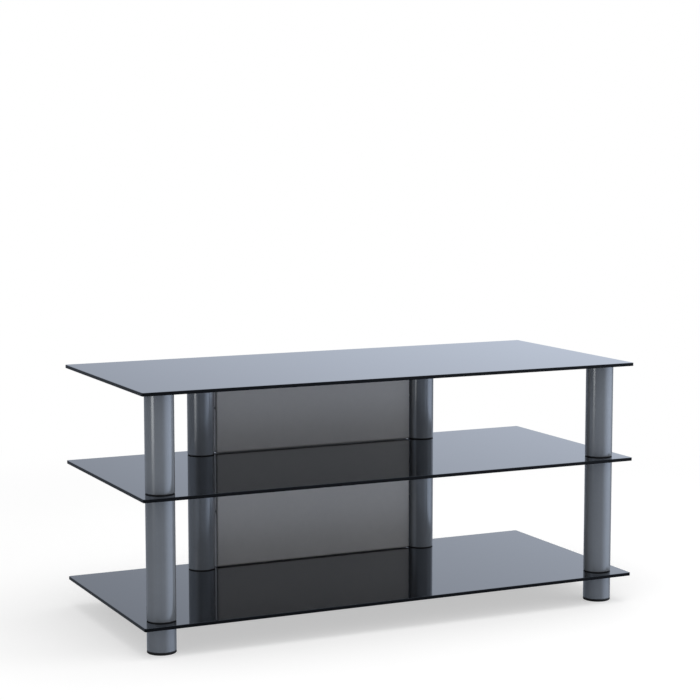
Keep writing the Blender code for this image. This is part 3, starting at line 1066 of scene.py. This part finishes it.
class RACK_OT_stage(bpy.types.Operator):
    """Set up the camera, the floor, the lamps and the surroundings"""

    bl_idname = "rack.stage"
    bl_label = "Stage"

    def execute(self, context):
        scene = context.scene
        settings = scene.rack_stage
        scene.view_settings.view_transform = "Standard"
        self.add_camera(scene, settings)
        self.add_floor(scene, settings)
        self.set_surroundings(scene, settings)
        lamps = {name: self.add_lamp(scene, settings, name) for name in LAMPS}
        lamps["side"].visible_glossy = False
        lamps["strip"].data.color = settings.strip_tint
        return {"FINISHED"}

    def add_camera(self, scene, settings):
        """The camera at the angle of the photograph, without any shift."""
        camera = bpy.data.cameras.new("rack_camera")
        camera.sensor_width = 36.0
        camera.lens = settings.lens
        holder = bpy.data.objects.new("rack_camera", camera)
        holder.location = settings.camera_place
        holder.rotation_euler = (pi / 2 - settings.tilt, 0.0, -settings.turn)
        scene.collection.objects.link(holder)
        scene.camera = holder

    def add_floor(self, scene, settings):
        """Four pale slabs that meet under the rack, each of which goes down with its own glide."""
        material = self.floor_material(settings)
        side = settings.floor_size / 2
        thickness = settings.floor_thickness
        for post in POSTS:
            x, y = axis_of(f"{post}_glide")[:2]
            centre = (copysign(side / 2, x), copysign(side / 2, y), -thickness / 2)
            size = Matrix.Diagonal((side, side, thickness, 1.0))
            bm = bmesh.new()
            bmesh.ops.create_cube(bm, size=1.0, matrix=Matrix.Translation(centre) @ size)
            slab = bpy.data.objects.new(f"{post}_floor", finish_mesh(bm))
            slab.data.materials.append(material)
            slab.visible_glossy = False
            scene.collection.objects.link(slab)
            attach(slab, frame["nodes"][f"{post}_glide"]["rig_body"])

    def floor_material(self, settings):
        """The floor's own tone, with white beyond the shadow for the camera."""
        matt = {"Roughness": 0.9, "Specular_IOR_Level": 0.0}
        material, tree, sockets = new_material("rack_floor", **matt)
        tone = effect(tree, "rack_mottle", Colour=settings.floor_tone, Scale=2.0, Amount=0.01)
        feed(tree, tone["Colour"], sockets["Base Color"])
        grain = effect(tree, "rack_grain", Scale=300.0, Detail=2.0)["Height"]
        relief(tree, sockets, grain, distance=0.0001, strength=0.05)
        place = object_place(tree)
        away = add_node(tree, "VectorMath", {"operation": "LENGTH"}, at0=place).outputs["Value"]
        far = spread(tree, away, FLOOR_FADE, smooth=True)
        seen = add_node(tree, "LightPath").outputs["Is Camera Ray"]
        lift = times(tree, seen, settings.floor_lift)
        paler = add_node(tree, "Emission", Color=WHITE, Strength=lift).outputs[0]
        own = tree.nodes["Principled BSDF"].outputs[0]
        lit = add_node(tree, "AddShader", at0=own, at1=paler).outputs[0]
        white = add_node(tree, "Emission", Color=WHITE, Strength=1.0).outputs[0]
        share = times(tree, far, seen)
        mixed = add_node(tree, "MixShader", at0=share, at1=lit, at2=white).outputs[0]
        feed(tree, mixed, tree.nodes["Material Output"].inputs["Surface"])
        return material

    def set_surroundings(self, scene, settings):
        """White for the camera, soft light all round, and a studio in what the glass mirrors."""
        world = bpy.data.worlds.new("rack_surroundings")
        world.use_nodes = True
        world.cycles.sampling_method = "NONE"
        scene.world = world
        tree = world.node_tree
        way = add_node(tree, "TexCoord").outputs["Generated"]
        height = add_node(tree, "SeparateXYZ", Vector=way).outputs["Z"]
        above = spread(tree, height, HORIZON, smooth=True)
        rise = spread(tree, height, *FRONT_RISE)
        fall = spread(tree, height, *FRONT_FALL)
        level = vary(tree, above, FRONT_BELOW, maths(tree, "MINIMUM", rise, fall))
        brightness = {
            "right": (spread(tree, height, *RIGHT_BELOW), RIGHT_ABOVE),
            "left": (LEFT_BELOW, LEFT_ABOVE),
            "behind": (BEHIND_BELOW, spread(tree, dot(tree, way, (1, 0, 0)), *BEHIND_ABOVE)),
        }
        for side, (direction, span) in SIDES.items():
            share = spread(tree, dot(tree, way, direction), span, smooth=True)
            level = vary(tree, share, level, vary(tree, above, *brightness[side]))
        mirrored = blend(tree, 1.0, grey(tree, level), MIRRORED_TINT, "MULTIPLY")
        path = add_node(tree, "LightPath").outputs
        soft = (settings.soft_level,) * 3
        surround = blend(tree, path["Is Glossy Ray"], soft, mirrored)
        direct = maths(tree, "MAXIMUM", path["Is Camera Ray"], path["Is Transmission Ray"])
        surround = blend(tree, direct, surround, WHITE)
        feed(tree, surround, tree.nodes["Background"].inputs["Color"])

    def add_lamp(self, scene, settings, name):
        """A rectangular soft lamp aimed at a point."""
        place, target, size = LAMPS[name]
        lamp = bpy.data.lights.new(f"{name}_lamp", "AREA")
        lamp.shape = "RECTANGLE"
        lamp.size, lamp.size_y = size
        lamp.energy = getattr(settings, f"{name}_power")
        holder = bpy.data.objects.new(f"{name}_lamp", lamp)
        holder.location = place
        aim = Vector(target) - Vector(place)
        holder.rotation_euler = aim.to_track_quat("-Z", "Y").to_euler()
        holder.visible_camera = False
        scene.collection.objects.link(holder)
        return holder


STEPS = (
    RACK_OT_shelves,
    RACK_OT_tubes,
    RACK_OT_plugs,
    RACK_OT_rods,
    RACK_OT_glides,
    RACK_OT_panels,
    RACK_OT_stage,
)
SETTINGS = {
    "rack_glass": RackGlassSettings,
    "rack_posts": RackPostSettings,
    "rack_rods": RackRodSettings,
    "rack_panels": RackPanelSettings,
    "rack_stage": RackStageSettings,
}


class VIEW3D_PT_rack(bpy.types.Panel):
    """Sizes, colours and building steps of the rack"""

    bl_label = "Media rack"
    bl_idname = "VIEW3D_PT_rack"
    bl_space_type = "VIEW_3D"
    bl_region_type = "UI"
    bl_category = "Rack"

    def draw(self, context):
        layout = self.layout
        for name, kind in SETTINGS.items():
            box = layout.box()
            box.label(text=kind.__doc__)
            for field in kind.__annotations__:
                box.prop(getattr(context.scene, name), field)
        for step in STEPS:
            layout.operator(step.bl_idname)


def register():
    """Register the settings, the operators and the panel."""
    for name, kind in SETTINGS.items():
        bpy.utils.register_class(kind)
        setattr(bpy.types.Scene, name, PointerProperty(type=kind))
    for kind in (*STEPS, VIEW3D_PT_rack):
        bpy.utils.register_class(kind)


def unregister():
    """Take the panel, the operators and the settings away again."""
    for kind in (VIEW3D_PT_rack, *reversed(STEPS)):
        bpy.utils.unregister_class(kind)
    for name, kind in SETTINGS.items():
        delattr(bpy.types.Scene, name)
        bpy.utils.unregister_class(kind)


def main():
    """Build everything: the pieces and the stage."""
    register()
    bpy.ops.rack.shelves()
    bpy.ops.rack.tubes()
    bpy.ops.rack.plugs()
    bpy.ops.rack.rods()
    bpy.ops.rack.glides()
    bpy.ops.rack.panels()
    bpy.ops.rack.stage()


if __name__ == "__main__":
    main()
